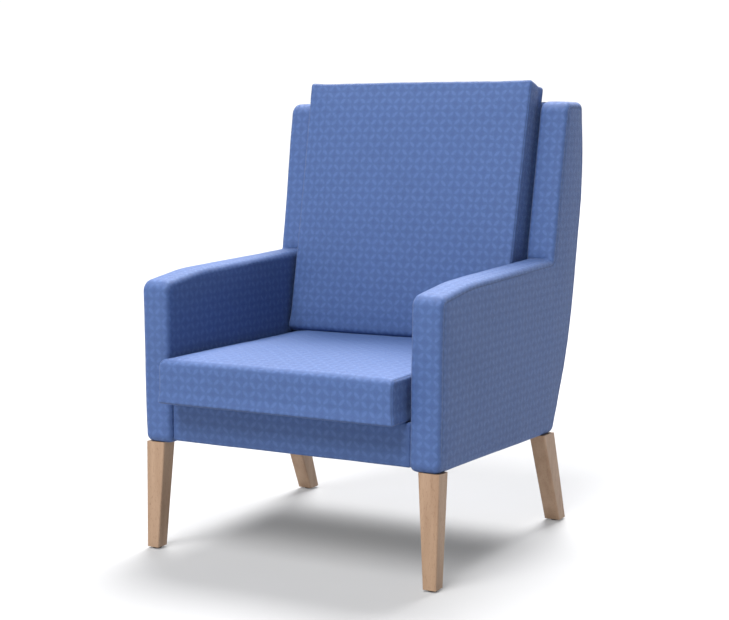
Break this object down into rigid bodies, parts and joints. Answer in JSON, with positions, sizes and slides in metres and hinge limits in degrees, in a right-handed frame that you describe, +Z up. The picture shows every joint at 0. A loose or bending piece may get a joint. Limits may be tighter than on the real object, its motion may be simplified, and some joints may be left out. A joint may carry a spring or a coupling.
{
  "type": "high back armchair",
  "caption": "Wide high back upholstered armchair with padded arms running up into wings, loose seat and back cushions and tapered beech legs.",
  "frame": {"origin": "on the floor, under the middle of the whole chair's box", "axes": "+Z up, -Y the way the sitter faces, +X to the right as seen from in front of the chair"},
  "size_m": [0.8138, 0.8984, 1.1394],
  "materials": {
    "upholstery": "matte",
    "foam": "matte",
    "deck_cloth": "matte",
    "dust_cloth": "matte",
    "webbing": "matte",
    "beech": "satin",
    "frame_timber": "matte",
    "hardboard": "matte",
    "steel": "satin",
    "nylon": "matte",
    "zip_tape": "matte",
    "zip_metal": "satin"
  },
  "bodies": {
    "chair": {"arm_rail_left": "frame_timber", "arm_rail_right": "frame_timber", "back_board": "hardboard", "back_foot_rail": "frame_timber", "back_inner_cover": "upholstery", "back_lower_rail": "frame_timber", "back_outer_cover": "upholstery", "back_pad": "foam", "back_post_left": "frame_timber", "back_post_right": "frame_timber", "back_stile_left": "frame_timber", "back_stile_right": "frame_timber", "back_straps": "webbing", "back_top_rail": "frame_timber", "back_wadding": "foam", "border_cover": "upholstery", "border_foam": "foam", "dust_cover": "dust_cloth", "frame_bolts": "steel", "frame_tee_nuts": "steel", "front_leg_left": "beech", "front_leg_right": "beech", "front_post_left": "frame_timber", "front_post_right": "frame_timber", "inner_board_left": "hardboard", "inner_board_right": "hardboard", "leg_bolts": "steel", "leg_glides": "nylon", "leg_tee_nuts": "steel", "outer_board_left": "hardboard", "outer_board_right": "hardboard", "rear_leg_left": "beech", "rear_leg_right": "beech", "seat_corner_blocks": "frame_timber", "seat_deck": "deck_cloth", "seat_front_rail": "frame_timber", "seat_rear_rail": "frame_timber", "seat_screws": "steel", "seat_side_rail_left": "frame_timber", "seat_side_rail_right": "frame_timber", "seat_springs": "steel", "side_cover_left": "upholstery", "side_cover_right": "upholstery", "side_foam_left": "foam", "side_foam_right": "foam", "side_rail_left": "frame_timber", "side_rail_right": "frame_timber", "spring_clips": "steel"},
    "seat_cushion": {"seat_cushion_foam": "foam", "seat_cushion_cover": "upholstery", "seat_cushion_zip": "zip_tape"},
    "back_cushion": {"back_cushion_foam": "foam", "back_cushion_cover": "upholstery", "back_cushion_zip": "zip_tape"},
    "seat_slider": {"seat_zip_slider": "zip_metal"},
    "back_slider": {"back_zip_slider": "zip_metal"}
  },
  "joints": [
    {"name": "seat_cushion_pull", "type": "slide", "parent": "chair", "child": "seat_cushion", "axis": [0, -1, 0], "range_m": [0, 0.7]},
    {"name": "back_cushion_lift", "type": "slide", "parent": "chair", "child": "back_cushion", "axis": [0, 0.1754, 0.9845], "range_m": [0, 0.65]},
    {"name": "seat_zip_pull", "type": "slide", "parent": "seat_cushion", "child": "seat_slider", "axis": [-1, 0, 0], "range_m": [0, 0.43]},
    {"name": "back_zip_pull", "type": "slide", "parent": "back_cushion", "child": "back_slider", "axis": [-1, 0, 0], "range_m": [0, 0.43]}
  ]
}
